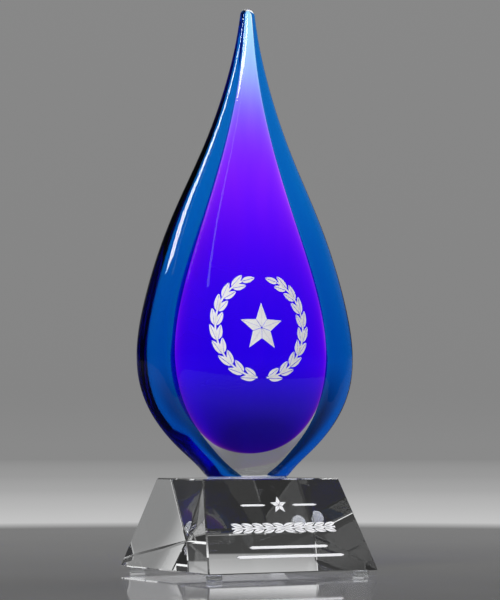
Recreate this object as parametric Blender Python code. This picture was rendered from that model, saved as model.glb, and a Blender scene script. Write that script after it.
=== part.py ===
"""Crystal award: an art glass drop bonded to a cut crystal block that stands on four bumper feet.

Sizes are in millimetres and MM turns them into metres. +Z is up, the engraved front faces -Y, and the
origin is on the table, below the middle of the block.
"""
import math

import bmesh
import bpy
import numpy as np

MM = 0.001

# Clearance between solids that touch on the real award.
GAP = 0.3

# Crystal block: a pyramid cut off flat, with chamfered edges.
BLOCK_BOTTOM_WIDTH = 101.6
BLOCK_BOTTOM_DEPTH = 101.6
BLOCK_TOP_WIDTH = 82.0
BLOCK_TOP_DEPTH = 53.0
BLOCK_HEIGHT = 48.0
BLOCK_CHAMFER = 0.7

# Bumper feet, each on a disc of adhesive film.
FOOT_RADIUS = 4.2
FOOT_HEIGHT = 2.0
FOOT_EDGE_RADIUS = 0.6
FOOT_INSET = 7.0
FOOT_FILM_RADIUS = 3.9
FOOT_FILM_THICKNESS = 0.4
FOOT_SIDES = 24
FOOT_EDGE_STEPS = 3
FOOT_SMOOTH_ANGLE = math.radians(40.0)

# Cured adhesive under the drop's ground foot.
BOND_THICKNESS = 0.4
BOND_INSET = 0.6

BLOCK_UNDERSIDE = FOOT_HEIGHT + GAP + FOOT_FILM_THICKNESS + GAP
BLOCK_TOP = BLOCK_UNDERSIDE + BLOCK_HEIGHT
BOND_BOTTOM = BLOCK_TOP + GAP
DROP_FOOT = BOND_BOTTOM + BOND_THICKNESS + GAP

# Cross-sections of the drop: height above its foot, half width over both wings, half width of the domed
# face between them, half thickness in the valley where face and wing meet, half thickness at the crown.
DROP_STATIONS = (
    (0.0, 24.0, 9.5, 10.2, 10.9),
    (6.0, 29.6, 17.8, 10.4, 12.0),
    (13.0, 38.2, 25.4, 10.2, 13.2),
    (28.0, 53.4, 38.2, 9.4, 14.9),
    (48.0, 64.0, 47.0, 8.5, 16.0),
    (64.0, 66.0, 49.2, 8.2, 16.2),
    (93.0, 61.5, 45.2, 7.4, 14.8),
    (139.0, 45.0, 29.8, 5.2, 10.0),
    (175.0, 27.4, 17.0, 3.6, 6.4),
    (214.0, 12.4, 6.9, 2.5, 3.9),
    (237.0, 6.5, 3.4, 1.9, 2.9),
    (249.0, 4.4, 2.2, 1.7, 2.4),
)
CASING_TIP_HEIGHT = 253.0
CASING_TIP_SCALE = 0.72
WING_TIP_HEIGHT = 250.8
WING_TIP_SCALE = 0.75

# How far each wing swells into the casing's edge, as a share of the wing's width.
WING_SWELL = 0.17

# Coloured core: height, half width and half thickness. Below its widest height it closes on a round end,
# and above it draws out to a thread at the tip. A flatness above 2 makes its section squarer than an oval.
CORE_STATIONS = (
    (64.0, 45.2, 11.4),
    (93.0, 41.3, 10.2),
    (139.0, 26.2, 6.4),
    (175.0, 14.5, 4.1),
    (214.0, 5.2, 1.0),
    (237.0, 2.2, 0.35),
    (253.0, 0.8, 0.2),
)
CORE_BOTTOM_HEIGHT = 13.0
CORE_WIDTH_ROUNDNESS = 2.0
CORE_DEPTH_ROUNDNESS = 5.0
CORE_FLATNESS = 4.5

# How finely the glass is faceted. The easing draws the cross-sections closer together at both ends.
LEVELS = 24
LEVEL_EASING = 0.35
FACE_STEPS = 8
WING_STEPS = 6
CORE_SIDES = 2 * (FACE_STEPS + WING_STEPS)
CORE_END_STEPS = 8
GLASS_SMOOTH_ANGLE = math.radians(50.0)

# White fill in the engraving. It stands clear of the glass by the gap. A leaf's shape is given in shares
# of its length along the stem and of its reach away from the stem.
FILL_THICKNESS = 0.4
EMBLEM_HEIGHT = 79.0
WREATH_RADIUS = 26.8
WREATH_STEM = 0.9
WREATH_LEAVES = 9
WREATH_LEAF_LENGTH = 7.6
WREATH_LEAF_WIDTH = 3.3
WREATH_START = math.radians(-84.0)
WREATH_END = math.radians(66.0)
WREATH_LEAF_SHAPE = ((0.0, 0.0), (0.30, 0.72), (1.0, 1.0), (0.78, 0.40))
EMBLEM_STAR_RADIUS = 13.5
STAR_WAIST = 0.42

# Engraving on the block's front face: distance of each line's middle from the face's lower edge, and sizes.
CREST_HEIGHT = 38.5
CREST_STAR_RADIUS = 5.2
CREST_RULE_LENGTH = 15.0
CREST_RULE_WIDTH = 1.1
CREST_RULE_OFFSET = 15.5
GARLAND_HEIGHT = 25.5
GARLAND_LENGTH = 62.0
GARLAND_STEM = 0.9
GARLAND_LEAVES = 10
GARLAND_LEAF_LENGTH = 6.2
GARLAND_LEAF_RISE = 3.3
GARLAND_LEAF_SHAPE = ((-0.4, 0.0), (-0.1, 0.75), (0.4, 1.0), (0.25, 0.0))
UPPER_RULE_HEIGHT = 14.6
UPPER_RULE_LENGTH = 47.0
LOWER_RULE_HEIGHT = 9.4
LOWER_RULE_LENGTH = 64.0
RULE_WIDTH = 1.5
RULE_POINT = 1.6


def clear_scene():
    for item in list(bpy.data.objects):
        bpy.data.objects.remove(item, do_unlink=True)


def make_material(name, colour, roughness, alpha=1.0):
    material = bpy.data.materials.new(name)
    material.use_nodes = True
    shader = material.node_tree.nodes["Principled BSDF"]
    shader.inputs["Base Color"].default_value = (*colour, 1.0)
    shader.inputs["Roughness"].default_value = roughness
    shader.inputs["Metallic"].default_value = 0.0
    shader.inputs["Alpha"].default_value = alpha
    material.diffuse_color = (*colour, alpha)
    return material


def make_object(name, points, faces, material, smooth_angle=None):
    """Make one object from points in millimetres, with its faces turned outwards."""
    mesh = bpy.data.meshes.new(name)
    mesh.from_pydata([(x * MM, y * MM, z * MM) for x, y, z in points], [], faces)
    work = bmesh.new()
    work.from_mesh(mesh)
    bmesh.ops.recalc_face_normals(work, faces=work.faces[:])
    work.to_mesh(mesh)
    work.free()
    if smooth_angle is not None:
        mesh.shade_smooth()
        mesh.set_sharp_from_angle(angle=smooth_angle)
    mesh.materials.append(material)
    piece = bpy.data.objects.new(name, mesh)
    bpy.context.scene.collection.objects.link(piece)
    return piece


def spline_value(stations, column, height):
    """Read one column of a station table at a height, on a natural cubic spline."""
    table = np.array(stations)
    knots = table[:, 0]
    values = table[:, column]
    count = len(knots)
    spans = np.diff(knots)
    slopes = np.diff(values) / spans
    system = np.eye(count)
    right = np.zeros(count)
    for row in range(1, count - 1):
        system[row, row - 1] = spans[row - 1]
        system[row, row] = 2.0 * (spans[row - 1] + spans[row])
        system[row, row + 1] = spans[row]
        right[row] = 6.0 * (slopes[row] - slopes[row - 1])
    bends = np.linalg.solve(system, right)
    span = int(np.clip(np.searchsorted(knots, height) - 1, 0, count - 2))
    width = spans[span]
    ahead = knots[span + 1] - height
    behind = height - knots[span]
    curved = (bends[span] * ahead**3 + bends[span + 1] * behind**3) / (6.0 * width)
    before = (values[span] / width - bends[span] * width / 6.0) * ahead
    after = (values[span + 1] / width - bends[span + 1] * width / 6.0) * behind
    return float(curved + before + after)


def drop_section(height):
    """Half width over the wings, half width of the face, half thickness in the valley and at the crown."""
    return [spline_value(DROP_STATIONS, column, height) for column in range(1, 5)]


def face_depth(x, height):
    """How far in front of the drop's middle plane its domed face lies."""
    _, face, valley, crown = drop_section(height)
    return valley + (crown - valley) * (1.0 - min(abs(x) / face, 1.0) ** 2)


def drop_levels():
    """Heights of the cross-sections, closer together at both ends."""
    low = DROP_STATIONS[0][0]
    high = DROP_STATIONS[-1][0]
    levels = []
    for step in range(LEVELS + 1):
        turn = step / LEVELS
        eased = turn - LEVEL_EASING * math.sin(2.0 * math.pi * turn) / (2.0 * math.pi)
        levels.append(low + (high - low) * eased)
    return levels


def wing_arc(face, valley, reach, side):
    """Half an ellipse from the front valley round the side to the back valley."""
    points = []
    for step in range(WING_STEPS + 1):
        angle = math.pi * (step / WING_STEPS - 0.5)
        points.append((side * (face + reach * math.cos(angle)), valley * math.sin(angle)))
    return points


def drop_ring(height, reach):
    """Outline of two domed faces joined by edges that stand out by a reach, or are hollow below zero."""
    _, face, valley, _ = drop_section(height)
    ring = []
    for step in range(FACE_STEPS):
        x = face * (2.0 * step / FACE_STEPS - 1.0)
        ring.append((x, -face_depth(x, height)))
    ring += wing_arc(face, valley, reach, 1.0)[:-1]
    return ring + [(-x, -y) for x, y in ring]


def casing_ring(height, scale=1.0):
    """Outline of the clear casing, whose edges are hollowed to take the wings."""
    outer, face, _, _ = drop_section(height)
    return [(x * scale, y * scale) for x, y in drop_ring(height, -WING_SWELL * (outer - face))]


def wing_ring(height, side):
    """Outline of one wing: round on its outer side, and swelling a little into the casing's edge."""
    outer, face, valley, _ = drop_section(height)
    swell = WING_SWELL * (outer - face)
    outside = wing_arc(face + GAP, valley, outer - face - GAP, side)
    inside = wing_arc(face + GAP, valley, -swell, side)
    inside.reverse()
    return outside + inside[1:-1]


def whole_ring(height, inset):
    """Outline of the whole drop at a height, drawn in by an inset."""
    outer, face, _, _ = drop_section(height)
    shrink = 1.0 - inset / outer
    return [(x * shrink, y * shrink) for x, y in drop_ring(height, outer - face)]


def flattened(value):
    """Push a sine or cosine outwards, so that an oval drawn with it has flatter sides."""
    return math.copysign(abs(value) ** (2.0 / CORE_FLATNESS), value)


def core_ring(height, grow=0.0):
    """Outline of the core, with its lower end closing on a round curve."""
    widest = CORE_STATIONS[0][0]
    half_width = spline_value(CORE_STATIONS, 1, max(height, widest))
    half_depth = spline_value(CORE_STATIONS, 2, max(height, widest))
    if height < widest:
        drop = (widest - height) / (widest - CORE_BOTTOM_HEIGHT)
        half_width *= (1.0 - drop**CORE_WIDTH_ROUNDNESS) ** (1.0 / CORE_WIDTH_ROUNDNESS)
        half_depth *= (1.0 - drop**CORE_DEPTH_ROUNDNESS) ** (1.0 / CORE_DEPTH_ROUNDNESS)
    ring = []
    for step in range(CORE_SIDES):
        angle = 2.0 * math.pi * step / CORE_SIDES
        x = (half_width + grow) * flattened(math.cos(angle))
        y = (half_depth + grow) * flattened(math.sin(angle))
        ring.append((x, y))
    return ring


def core_levels():
    """Heights of the core's cross-sections, bunched where its lower end closes."""
    widest = CORE_STATIONS[0][0]
    top = CORE_STATIONS[-1][0]
    levels = []
    for step in range(CORE_END_STEPS):
        angle = 0.5 * math.pi * (step + 0.5) / CORE_END_STEPS
        levels.append(widest - (widest - CORE_BOTTOM_HEIGHT) * math.cos(angle))
    upper_steps = LEVELS - CORE_END_STEPS
    for step in range(upper_steps + 1):
        levels.append(widest + (top - widest) * step / upper_steps)
    return levels


def stack(rings, heights):
    """Points of a stack of rings and the quads that join each ring to the next."""
    sides = len(rings[0])
    points = []
    faces = []
    for ring, height in zip(rings, heights):
        points += [(x, y, height + DROP_FOOT) for x, y in ring]
    for level in range(len(rings) - 1):
        for side in range(sides):
            low = level * sides
            after = (side + 1) % sides
            faces.append((low + side, low + after, low + sides + after, low + sides + side))
    return points, faces


def loft(name, rings, heights, material, smooth_angle):
    """A closed solid through a stack of rings, with a flat cap at each end."""
    points, faces = stack(rings, heights)
    sides = len(rings[0])
    last = len(points) - sides
    faces.append(tuple(range(sides)))
    faces.append(tuple(range(last, last + sides)))
    return make_object(name, points, faces, material, smooth_angle)


def build_casing(material):
    """The clear casing, with the core's cavity opening at the tip where the glass left the pipe."""
    levels = drop_levels()
    outside = [casing_ring(height) for height in levels]
    outside.append(casing_ring(levels[-1], CASING_TIP_SCALE))
    points, faces = stack(outside, levels + [CASING_TIP_HEIGHT])
    sides = len(outside[0])
    faces.append(tuple(range(sides)))
    outer_rim = list(range(len(points) - sides, len(points)))

    cavity_levels = core_levels()
    cavity = [core_ring(height, GAP) for height in cavity_levels]
    cavity_levels[0] -= GAP
    cavity_points, cavity_faces = stack(cavity, cavity_levels)
    start = len(points)
    points += cavity_points
    faces += [tuple(start + index for index in face) for face in cavity_faces]
    faces.append(tuple(range(start, start + CORE_SIDES)))
    inner_rim = list(range(len(points) - CORE_SIDES, len(points)))

    first_x, first_y, _ = points[outer_rim[0]]
    turn = round(math.atan2(first_y, first_x) / (2.0 * math.pi) * CORE_SIDES)
    for side in range(CORE_SIDES):
        after = (side + 1) % CORE_SIDES
        inner_side = inner_rim[(side + turn) % CORE_SIDES]
        inner_after = inner_rim[(after + turn) % CORE_SIDES]
        faces.append((outer_rim[side], outer_rim[after], inner_after, inner_side))
    make_object("drop_casing", points, faces, material, GLASS_SMOOTH_ANGLE)


def build_core(material):
    levels = core_levels()
    loft("color_core", [core_ring(height) for height in levels], levels, material, GLASS_SMOOTH_ANGLE)


def build_wings(material):
    levels = drop_levels()
    for name, side in (("side_wing_left", -1.0), ("side_wing_right", 1.0)):
        rings = [wing_ring(height, side) for height in levels]
        tip = wing_ring(levels[-1], side)
        middle = sum(x for x, _ in tip) / len(tip)
        rings.append([(middle + (x - middle) * WING_TIP_SCALE, y * WING_TIP_SCALE) for x, y in tip])
        loft(name, rings, levels + [WING_TIP_HEIGHT], material, GLASS_SMOOTH_ANGLE)


def build_block(material):
    """The cut-off pyramid with a chamfer along every edge."""
    points = []
    for width, depth, height in (
        (BLOCK_BOTTOM_WIDTH, BLOCK_BOTTOM_DEPTH, BLOCK_UNDERSIDE),
        (BLOCK_TOP_WIDTH, BLOCK_TOP_DEPTH, BLOCK_TOP),
    ):
        for x_side, y_side in ((-1, -1), (1, -1), (1, 1), (-1, 1)):
            points.append((x_side * width / 2.0, y_side * depth / 2.0, height))
    faces = [(0, 1, 2, 3), (4, 5, 6, 7)]
    for side in range(4):
        after = (side + 1) % 4
        faces.append((side, after, 4 + after, 4 + side))
    block = make_object("crystal_base", points, faces, material)
    bevel = block.modifiers.new("chamfer", "BEVEL")
    bevel.width = BLOCK_CHAMFER * MM
    bevel.segments = 1


def build_bond(material):
    """A thin cured layer with the outline of the drop's foot."""
    ring = whole_ring(0.0, BOND_INSET)
    low = BOND_BOTTOM - DROP_FOOT
    loft("drop_bond", [ring, ring], [low, low + BOND_THICKNESS], material, None)


def build_disc(name, x, y, profile, material):
    """A disc turned round an upright axis at x, y from (radius, height) points, lowest first."""
    rings = []
    for radius, _ in profile:
        ring = []
        for step in range(FOOT_SIDES):
            angle = 2.0 * math.pi * step / FOOT_SIDES
            ring.append((x + radius * math.cos(angle), y + radius * math.sin(angle)))
        rings.append(ring)
    loft(name, rings, [height - DROP_FOOT for _, height in profile], material, FOOT_SMOOTH_ANGLE)


def build_feet(foot_material, film_material):
    """A bumper foot with a rounded lower edge, and its film, under each corner of the block."""
    foot = []
    for step in range(FOOT_EDGE_STEPS + 1):
        angle = 0.5 * math.pi * step / FOOT_EDGE_STEPS
        radius = FOOT_RADIUS - FOOT_EDGE_RADIUS * (1.0 - math.sin(angle))
        foot.append((radius, FOOT_EDGE_RADIUS * (1.0 - math.cos(angle))))
    foot.append((FOOT_RADIUS, FOOT_HEIGHT))
    film_bottom = FOOT_HEIGHT + GAP
    film = [(FOOT_FILM_RADIUS, film_bottom), (FOOT_FILM_RADIUS, film_bottom + FOOT_FILM_THICKNESS)]
    x_reach = BLOCK_BOTTOM_WIDTH / 2.0 - FOOT_INSET
    y_reach = BLOCK_BOTTOM_DEPTH / 2.0 - FOOT_INSET
    for row, y in (("front", -y_reach), ("rear", y_reach)):
        for column, x in (("left", -x_reach), ("right", x_reach)):
            place = row + "_" + column
            build_disc("bumper_foot_" + place, x, y, foot, foot_material)
            build_disc("foot_adhesive_" + place, x, y, film, film_material)


def make_plate(name, outline, place, material, middle=None):
    """A thin plate whose flat outline is laid on a surface.

    place(u, v, lift) gives the point that lies lift above the surface. A middle point fans the
    plate's faces out from its middle, so that they follow a curved surface.
    """
    count = len(outline)
    flat = list(outline)
    if middle is not None:
        flat.append(middle)
    points = [place(u, v, GAP) for u, v in flat]
    points += [place(u, v, GAP + FILL_THICKNESS) for u, v in flat]
    top = len(flat)
    faces = []
    if middle is None:
        faces.append(tuple(range(count)))
        faces.append(tuple(range(top, top + count)))
    for side in range(count):
        after = (side + 1) % count
        faces.append((side, after, top + after, top + side))
        if middle is not None:
            faces.append((side, after, count))
            faces.append((top + side, top + after, top + count))
    make_object(name, points, faces, material)


def on_drop(u, v, lift):
    """Lay a point of the emblem on the drop's domed front face."""
    height = EMBLEM_HEIGHT + v
    return (u, -face_depth(u, height) - lift, height + DROP_FOOT)


def on_block(u, v, lift):
    """Lay a point on the block's sloping front face, v up from its lower edge."""
    back = (BLOCK_BOTTOM_DEPTH - BLOCK_TOP_DEPTH) / 2.0
    slant = math.hypot(back, BLOCK_HEIGHT)
    y = -BLOCK_BOTTOM_DEPTH / 2.0 + v * back / slant - lift * BLOCK_HEIGHT / slant
    z = BLOCK_UNDERSIDE + v * BLOCK_HEIGHT / slant + lift * back / slant
    return (u, y, z)


def star_outline(radius, across, up):
    outline = []
    for step in range(10):
        reach = radius if step % 2 == 0 else radius * STAR_WAIST
        angle = math.pi / 2.0 + math.pi * step / 5.0
        outline.append((across + reach * math.cos(angle), up + reach * math.sin(angle)))
    return outline


def wreath_outline(side):
    """One laurel branch: a curved stem with pointed leaves on both edges, leaning towards its tip."""
    pitch = (WREATH_END - WREATH_START) / WREATH_LEAVES

    def at(radius, angle):
        return (side * radius * math.cos(angle), radius * math.sin(angle))

    lean = WREATH_LEAF_LENGTH / WREATH_RADIUS
    outer = []
    inner = []
    for leaf in range(WREATH_LEAVES):
        root = WREATH_START + leaf * pitch
        for edge, way in ((outer, 1.0), (inner, -1.0)):
            stem = WREATH_RADIUS + way * WREATH_STEM / 2.0
            for along, out in WREATH_LEAF_SHAPE:
                edge.append(at(stem + way * out * WREATH_LEAF_WIDTH, root + along * lean))
    outer.append(at(WREATH_RADIUS + WREATH_STEM / 2.0, WREATH_END))
    inner.append(at(WREATH_RADIUS - WREATH_STEM / 2.0, WREATH_END))
    inner.reverse()
    return outer + inner


def garland_outline():
    """A straight stem with pointed leaves above and below, leaning outwards from the middle."""
    pitch = GARLAND_LENGTH / GARLAND_LEAVES
    upper = []
    for leaf in range(GARLAND_LEAVES):
        middle = (leaf + 0.5 - GARLAND_LEAVES / 2.0) * pitch
        way = math.copysign(1.0, middle)
        edge = []
        for along, out in GARLAND_LEAF_SHAPE:
            u = middle + way * along * GARLAND_LEAF_LENGTH
            edge.append((u, GARLAND_STEM / 2.0 + out * GARLAND_LEAF_RISE))
        if way < 0.0:
            edge.reverse()
        upper += edge
    lower = [(u, -v) for u, v in upper]
    lower.reverse()
    return upper + lower


def rule_outline(length, width, point, across, up):
    """A straight bar whose two ends run out to points."""
    half = length / 2.0
    outline = [(-half, 0.0), (-half + point, width / 2.0), (half - point, width / 2.0)]
    outline += [(half, 0.0), (half - point, -width / 2.0), (-half + point, -width / 2.0)]
    return [(across + u, up + v) for u, v in outline]


def build_emblem(material):
    make_plate("emblem_wreath_left", wreath_outline(-1.0), on_drop, material)
    make_plate("emblem_wreath_right", wreath_outline(1.0), on_drop, material)
    make_plate("emblem_star", star_outline(EMBLEM_STAR_RADIUS, 0.0, 0.0), on_drop, material, (0.0, 0.0))


def build_engraving(material):
    make_plate("engraved_star", star_outline(CREST_STAR_RADIUS, 0.0, CREST_HEIGHT), on_block, material)
    for name, side in (("engraved_rule_left", -1.0), ("engraved_rule_right", 1.0)):
        middle = side * CREST_RULE_OFFSET
        rule = rule_outline(CREST_RULE_LENGTH, CREST_RULE_WIDTH, RULE_POINT, middle, CREST_HEIGHT)
        make_plate(name, rule, on_block, material)
    garland = [(u, v + GARLAND_HEIGHT) for u, v in garland_outline()]
    make_plate("engraved_garland", garland, on_block, material)
    for name, length, height in (
        ("engraved_rule_upper", UPPER_RULE_LENGTH, UPPER_RULE_HEIGHT),
        ("engraved_rule_lower", LOWER_RULE_LENGTH, LOWER_RULE_HEIGHT),
    ):
        make_plate(name, rule_outline(length, RULE_WIDTH, RULE_POINT, 0.0, height), on_block, material)


def build():
    clear_scene()
    crystal = make_material("optical_crystal", (0.86, 0.89, 0.90), 0.03, 0.45)
    clear_glass = make_material("clear_glass", (0.80, 0.86, 0.95), 0.04, 0.35)
    core_glass = make_material("violet_blue_glass", (0.07, 0.01, 0.85), 0.05)
    wing_glass = make_material("teal_glass", (0.0, 0.16, 0.42), 0.05)
    bond = make_material("clear_adhesive", (0.85, 0.86, 0.84), 0.20)
    rubber = make_material("clear_bumper", (0.72, 0.74, 0.74), 0.35)
    fill = make_material("white_fill", (0.90, 0.90, 0.92), 0.60)
    build_block(crystal)
    build_feet(rubber, bond)
    build_bond(bond)
    build_casing(clear_glass)
    build_core(core_glass)
    build_wings(wing_glass)
    build_emblem(fill)
    build_engraving(fill)


build()
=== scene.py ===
"""Looks of the crystal award: fine glass surfaces, engraving fill, materials, light and camera.

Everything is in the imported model's frame, with +Z up and the engraved front towards -Y. Sizes are in
millimetres, as in the part's own source, and MM turns them into metres.
"""
import math

import bmesh
import bpy
import numpy as np
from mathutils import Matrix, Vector


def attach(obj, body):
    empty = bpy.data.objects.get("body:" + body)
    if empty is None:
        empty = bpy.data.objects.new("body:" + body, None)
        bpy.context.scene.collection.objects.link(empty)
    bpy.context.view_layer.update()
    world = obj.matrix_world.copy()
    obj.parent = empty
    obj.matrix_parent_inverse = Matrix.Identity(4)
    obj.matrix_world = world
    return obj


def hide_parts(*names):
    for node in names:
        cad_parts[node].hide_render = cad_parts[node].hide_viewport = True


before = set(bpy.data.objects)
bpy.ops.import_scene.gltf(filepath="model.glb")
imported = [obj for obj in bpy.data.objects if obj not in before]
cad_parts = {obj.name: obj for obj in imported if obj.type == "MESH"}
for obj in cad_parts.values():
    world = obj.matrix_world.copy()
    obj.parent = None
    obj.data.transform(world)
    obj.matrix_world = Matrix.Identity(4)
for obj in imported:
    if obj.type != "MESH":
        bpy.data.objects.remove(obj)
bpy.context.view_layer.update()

MM = 0.001
WELD_DISTANCE = 0.001

# The part's driving dimensions, repeated for the fine surfaces.
BLOCK_BOTTOM_DEPTH = 101.6
BLOCK_TOP_DEPTH = 53.0
BLOCK_HEIGHT = 48.0
BLOCK_UNDERSIDE = 3.0
BLOCK_TOP = BLOCK_UNDERSIDE + BLOCK_HEIGHT
DROP_FOOT = 52.0

FOOT_CENTRE = 43.8
FOOT_RADIUS = 4.2
FOOT_EDGE_RADIUS = 0.6
FOOT_DOME_RADIUS = 1.1
FOOT_SOLE_RISE = 0.02
FOOT_EDGE_STEPS = 6
FOOT_TOP = 2.34
FILM_RADIUS = 3.9
FILM_EDGE = 0.15
FILM_TOP = 2.97
DISC_SIDES = 48

# The layer of adhesive under the drop, hollowed all round by its meniscus.
BOND_INSET = 0.5
BOND_HOLLOW = 0.45
BOND_STEPS = 6

# Between two pieces that touch on the real award.
HAIR_GAP = 0.01

# Height above the drop's foot, half width over the wings, half width of the domed face, half thickness
# in the valley where face and wing meet, half thickness at the crown.
DROP_STATIONS = (
    (0.0, 24.0, 9.5, 10.2, 10.9),
    (6.0, 29.6, 17.8, 10.4, 12.0),
    (13.0, 38.2, 25.4, 10.2, 13.2),
    (28.0, 53.4, 38.2, 9.4, 14.9),
    (48.0, 64.0, 47.0, 8.5, 16.0),
    (64.0, 66.0, 49.2, 8.2, 16.2),
    (93.0, 61.5, 45.2, 7.4, 14.8),
    (139.0, 45.0, 29.8, 5.2, 10.0),
    (175.0, 27.4, 17.0, 3.6, 6.4),
    (214.0, 12.4, 6.9, 2.5, 3.9),
    (237.0, 6.5, 3.4, 1.9, 2.9),
    (249.0, 4.4, 2.2, 1.7, 2.4),
)
DROP_SHOULDER = 249.0
DROP_TIP = 253.0
WING_SWELL = 0.17
FOOT_ROUNDING = 0.5
VALLEY_FILLET = 0.075

# Height, half width and half depth of the coloured core. The layers are fused, so it comes to within a
# hair of the wings.
CORE_STATIONS = (
    (64.0, 46.1, 11.4),
    (93.0, 42.2, 10.2),
    (139.0, 27.05, 6.4),
    (175.0, 15.1, 4.1),
    (214.0, 5.8, 1.0),
    (237.0, 2.7, 0.35),
    (253.0, 1.0, 0.2),
)
CORE_WIDEST = 64.0
CORE_BOTTOM = 13.0
CORE_WIDTH_ROUNDNESS = 2.0
CORE_DEPTH_ROUNDNESS = 5.0
CORE_FLATNESS = 4.5
CORE_TIP = 251.6
CORE_TIP_ROUNDING = 2.0
WING_TIP = 251.4
WING_INSET = 0.06
NECK_BOTTOM = 205.0
NECK_TOP = 262.0

# How finely the glass is modelled.
FACE_STEPS = 56
WING_STEPS = 22
LEVELS = 150
FOOT_ROUNDING_STEPS = 4
DROP_TIP_STEPS = 10
WING_TIP_STEPS = 8
CORE_LEVELS = 90
CORE_FIRST_LEVEL = 0.3
CORE_TIP_STEPS = 6
CORE_SIDES = 96
DROP_SMOOTH_ANGLE = math.radians(35.0)
LAYER_SMOOTH_ANGLE = math.radians(60.0)
BOND_SMOOTH_ANGLE = math.radians(50.0)
DISC_SMOOTH_ANGLE = math.radians(40.0)

# White fill: how far it stands out of the engraving and reaches into the glass.
FILL_PROUD = 0.05
FILL_DEPTH = 0.28
EMBLEM_HEIGHT = 79.0
WREATH_RADIUS = 26.8
WREATH_STEM = 0.9
WREATH_LEAVES = 9
WREATH_LEAF_LENGTH = 8.0
WREATH_LEAF_SPREAD = 3.0
WREATH_LEAF_WIDTH = 3.0
WREATH_START = math.radians(-84.0)
WREATH_END = math.radians(66.0)
WREATH_STEPS = 60
WREATH_LEAF_LAG = 0.15
WREATH_LEAF_ROOT = 0.6
EMBLEM_STAR_RADIUS = 13.5
STAR_WAIST = 0.42
STAR_KITE_SHARE = 0.2
STAR_STEPS = 6
STAR_SHARES = (0.02, 0.2, 0.4, 0.6, 0.8, 1.0)
LEAF_VEIN = 0.28
LEAF_STEPS = 8
LEAF_SHARES = (0.0, 0.35, 0.7, 1.0)
LEAF_FULLNESS = 0.8
LEAF_END_WIDTH = 0.02

CREST_HEIGHT = 38.5
CREST_STAR_RADIUS = 5.2
CREST_RULE_LENGTH = 15.0
CREST_RULE_WIDTH = 1.1
CREST_RULE_OFFSET = 15.5
GARLAND_HEIGHT = 25.5
GARLAND_LENGTH = 62.0
GARLAND_STEM = 0.9
GARLAND_LEAVES = 10
GARLAND_LEAF_LENGTH = 6.6
GARLAND_LEAF_RISE = 2.4
GARLAND_LEAF_WIDTH = 2.3
GARLAND_LEAF_ROOT = 0.7
GARLAND_STEPS = 20
UPPER_RULE_HEIGHT = 14.6
UPPER_RULE_LENGTH = 47.0
LOWER_RULE_HEIGHT = 9.4
LOWER_RULE_LENGTH = 64.0
RULE_WIDTH = 1.5
RULE_POINT = 1.6
RULE_POINT_SHARE = 0.06

# Materials. A noise scale is in features per metre and a bump distance in millimetres. A pair of colours
# or roughnesses is what the material has at the low and the high end of a span of the noise.
WHITE = (1.0, 1.0, 1.0)
GRAIN_SPAN = (0.3, 0.7)

GLASS_IOR = 1.5
GLASS_TINTS = ((0.96, 0.985, 1.0), WHITE)
GLASS_WAVE_SCALE = 26.0
GLASS_WAVE_DETAIL = 1.0
GLASS_WAVE_STRETCH = (1.0, 1.0, 0.35)
GLASS_WAVE_STRENGTH = 0.12
GLASS_WAVE_DISTANCE = 1.0
GLASS_HAZE_SCALE = 90.0
GLASS_HAZE_SPAN = (0.35, 0.75)
GLASS_HAZE = (0.0, 0.025)

STREAK_SCALE = 120.0
STREAK_DETAIL = 3.0
STREAK_STRETCH = (1.0, 1.0, 0.12)
STREAK_SPAN = (0.35, 0.65)
CORE_STREAK = (0.92, 0.90, 1.0)
CORE_NECK = (0.68, 1.0, 1.0)
CORE_COLOUR = (0.675, 0.10, 0.988)
CORE_DENSITY = 463.0
WING_STREAK = (0.90, 0.97, 1.0)
WING_COLOUR = (0.05, 0.875, 0.975)
WING_DENSITY = 400.0
WING_SKIN = (0.15, 0.42, 0.70)

CRYSTAL_IOR = 1.52
CRYSTAL_TINTS = ((0.97, 0.985, 0.985), WHITE)
CRYSTAL_HAZE_SCALE = 60.0
CRYSTAL_HAZE_DETAIL = 3.0
CRYSTAL_HAZE_SPAN = (0.4, 0.8)
CRYSTAL_HAZE = (0.0, 0.012)

ADHESIVE_IOR = 1.48
ADHESIVE_CLARITY = 0.9
ADHESIVE_TINTS = ((0.86, 0.88, 0.88), (0.97, 0.98, 0.98))
ADHESIVE_CLOUD_SCALE = 300.0
ADHESIVE_CLOUD_DETAIL = 4.0
ADHESIVE_ROUGHNESS = (0.06, 0.22)
ADHESIVE_BUMP_STRENGTH = 0.2
ADHESIVE_BUMP_DISTANCE = 0.2

BUMPER_IOR = 1.49
BUMPER_CLARITY = 0.92
BUMPER_TINTS = ((0.80, 0.82, 0.82), (0.90, 0.91, 0.91))
BUMPER_GRAIN_SCALE = 1400.0
BUMPER_GRAIN_DETAIL = 3.0
BUMPER_ROUGHNESS = (0.06, 0.14)
BUMPER_BUMP_STRENGTH = 0.08
BUMPER_BUMP_DISTANCE = 0.02

FILL_IOR = 1.45
FILL_TINTS = ((0.86, 0.86, 0.88), (0.96, 0.96, 0.97))
FILL_GRAIN_SCALE = 2600.0
FILL_GRAIN_DETAIL = 3.0
FILL_ROUGHNESS = (0.45, 0.7)
FILL_BUMP_STRENGTH = 0.35
FILL_BUMP_DISTANCE = 0.05

TABLE_IOR = 1.4
TABLE_TONES = (0.20, 0.23)
TABLE_CLOUD_SCALE = 6.0
TABLE_CLOUD_DETAIL = 4.0
TABLE_ROUGHNESS = (0.03, 0.05)

# Camera: an eye just above the block, tilted up a little, turned round to the award's left.
VIEW_YAW = math.radians(29.3)
CAMERA_DISTANCE = 1200.0
CAMERA_HEIGHT = 69.0
CAMERA_ASIDE = 1.4
CAMERA_TILT = math.radians(3.70)
CAMERA_LENS = 133.9
CAMERA_SENSOR = 36.0

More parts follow.
